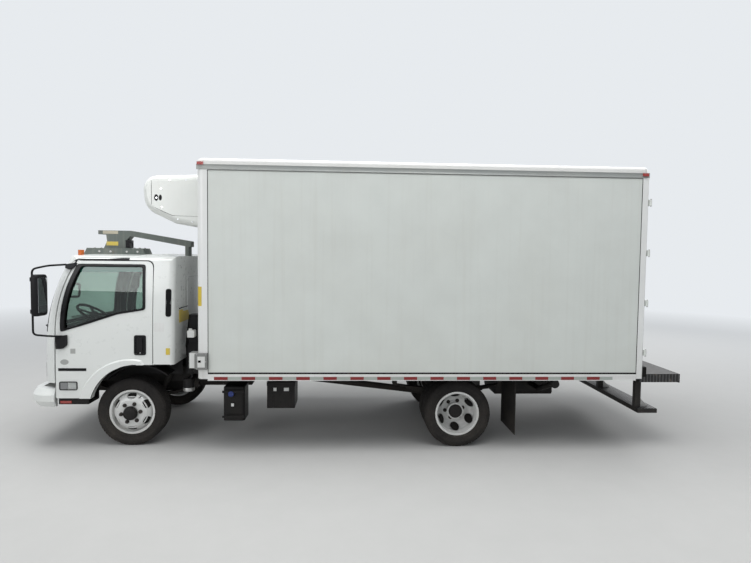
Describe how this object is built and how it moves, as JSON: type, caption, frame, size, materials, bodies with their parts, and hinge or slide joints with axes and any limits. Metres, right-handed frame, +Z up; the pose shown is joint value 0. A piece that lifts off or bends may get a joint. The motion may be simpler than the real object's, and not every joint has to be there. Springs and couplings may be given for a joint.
{
  "type": "refrigerated truck",
  "caption": "Cab-over refrigerated box truck with a tilting cab, steered front wheels, twin rear wheels, cab doors, swing rear doors and a nose-mounted cooling unit.",
  "frame": {"origin": "centre of the whole truck's footprint box on the ground under the tyres", "axes": "+X to the rear along the truck, +Y to the passenger's side, +Z up"},
  "size_m": [7.65, 2.6662, 3.302],
  "materials": {
    "white_paint": "gloss",
    "box_skin": "semi-gloss",
    "roof_cap": "satin",
    "black_frame": "satin",
    "black_plastic": "matte",
    "grey_plastic": "matte",
    "wheel_paint": "semi-gloss",
    "tyre": "matte",
    "rubber": "matte",
    "cast_iron": "rough",
    "glass": "clear",
    "lens_red": "gloss",
    "lens_amber": "gloss",
    "lens_clear": "gloss",
    "seat_cloth": "woven",
    "unit_shell": "gloss",
    "control_grey": "satin",
    "steel": "satin"
  },
  "bodies": {
    "chassis": {"frame": "black_frame", "front_axle": "cast_iron", "rear_axle": "cast_iron", "leaf_springs": "cast_iron", "engine": "cast_iron", "exhaust": "steel", "front_bumper": "white_paint", "battery_box": "black_plastic", "def_tank": "black_plastic", "fuel_tank": "black_plastic", "air_canister": "steel", "mud_flaps": "rubber", "air_intake": "black_plastic", "box_floor": "box_skin", "box_wall_left": "box_skin", "box_wall_right": "box_skin", "box_front_wall": "box_skin", "box_roof": "roof_cap", "box_rear_frame": "box_skin", "refrigeration_unit": "unit_shell", "evaporator": "unit_shell", "control_box": "control_grey", "step_bumper": "black_frame", "box_lamps": "lens_red"},
    "cab": {"cab_shell": "white_paint", "front_panel": "white_paint", "headlamps": "lens_clear", "grille": "black_plastic", "cab_glass": "glass", "cab_floor": "black_frame", "cab_steps": "black_plastic", "dashboard": "grey_plastic", "seats": "seat_cloth", "seat_bases": "black_frame", "cab_lamps": "lens_amber", "roof_carrier": "control_grey"},
    "door_left": {"door_left": "white_paint", "door_glass_left": "glass", "mirror_left": "black_plastic"},
    "door_right": {"door_right": "white_paint", "door_glass_right": "glass", "mirror_right": "black_plastic"},
    "steering_wheel": {"steering_wheel": "black_plastic"},
    "knuckle_left": {"knuckle_left": "cast_iron"},
    "knuckle_right": {"knuckle_right": "cast_iron"},
    "wheel_front_left": {"wheel_front_left": "wheel_paint", "tyre_front_left": "tyre"},
    "wheel_front_right": {"wheel_front_right": "wheel_paint", "tyre_front_right": "tyre"},
    "wheels_rear_left": {"wheels_rear_left": "wheel_paint", "tyres_rear_left": "tyre"},
    "wheels_rear_right": {"wheels_rear_right": "wheel_paint", "tyres_rear_right": "tyre"},
    "rear_door_left": {"rear_door_left": "box_skin"},
    "rear_door_right": {"rear_door_right": "box_skin"}
  },
  "joints": [
    {"name": "cab_tilt", "type": "hinge", "parent": "chassis", "child": "cab", "pos_m": [-3.665, 0, 0.745], "axis": [0, -1, 0], "range_deg": [0, 45]},
    {"name": "door_left_swing", "type": "hinge", "parent": "cab", "child": "door_left", "pos_m": [-3.445, -1.022, 1.3], "axis": [0, 0, -1], "range_deg": [0, 70]},
    {"name": "door_right_swing", "type": "hinge", "parent": "cab", "child": "door_right", "pos_m": [-3.445, 1.022, 1.3], "axis": [0, 0, 1], "range_deg": [0, 70]},
    {"name": "steer_left", "type": "hinge", "parent": "chassis", "child": "knuckle_left", "pos_m": [-2.655, -0.706, 0.392], "axis": [0, 0, 1], "range_deg": [-36, 36]},
    {"name": "steer_right", "type": "hinge", "parent": "chassis", "child": "knuckle_right", "pos_m": [-2.655, 0.706, 0.392], "axis": [0, 0, 1], "range_deg": [-36, 36]},
    {"name": "steering_turn", "type": "hinge", "parent": "cab", "child": "steering_wheel", "pos_m": [-3.245, -0.52, 1.49], "axis": [0.5299, 0, 0.848], "range_deg": [-576, 576]},
    {"name": "wheel_front_left_spin", "type": "hinge", "parent": "knuckle_left", "child": "wheel_front_left", "pos_m": [-2.655, -0.8325, 0.392], "axis": [0, 1, 0], "continuous": true},
    {"name": "wheel_front_right_spin", "type": "hinge", "parent": "knuckle_right", "child": "wheel_front_right", "pos_m": [-2.655, 0.8325, 0.392], "axis": [0, 1, 0], "continuous": true},
    {"name": "wheels_rear_left_spin", "type": "hinge", "parent": "chassis", "child": "wheels_rear_left", "pos_m": [1.155, -0.825, 0.392], "axis": [0, 1, 0], "continuous": true},
    {"name": "wheels_rear_right_spin", "type": "hinge", "parent": "chassis", "child": "wheels_rear_right", "pos_m": [1.155, 0.825, 0.392], "axis": [0, 1, 0], "continuous": true},
    {"name": "rear_door_left_swing", "type": "hinge", "parent": "chassis", "child": "rear_door_left", "pos_m": [3.314, -1.228, 2], "axis": [0, 0, -1], "range_deg": [0, 255]},
    {"name": "rear_door_right_swing", "type": "hinge", "parent": "chassis", "child": "rear_door_right", "pos_m": [3.314, 1.228, 2], "axis": [0, 0, 1], "range_deg": [0, 255]}
  ],
  "couplings": [
    {"joint": "steer_right", "follows": "steer_left", "ratio": 1},
    {"joint": "steering_turn", "follows": "steer_left", "ratio": 16}
  ]
}
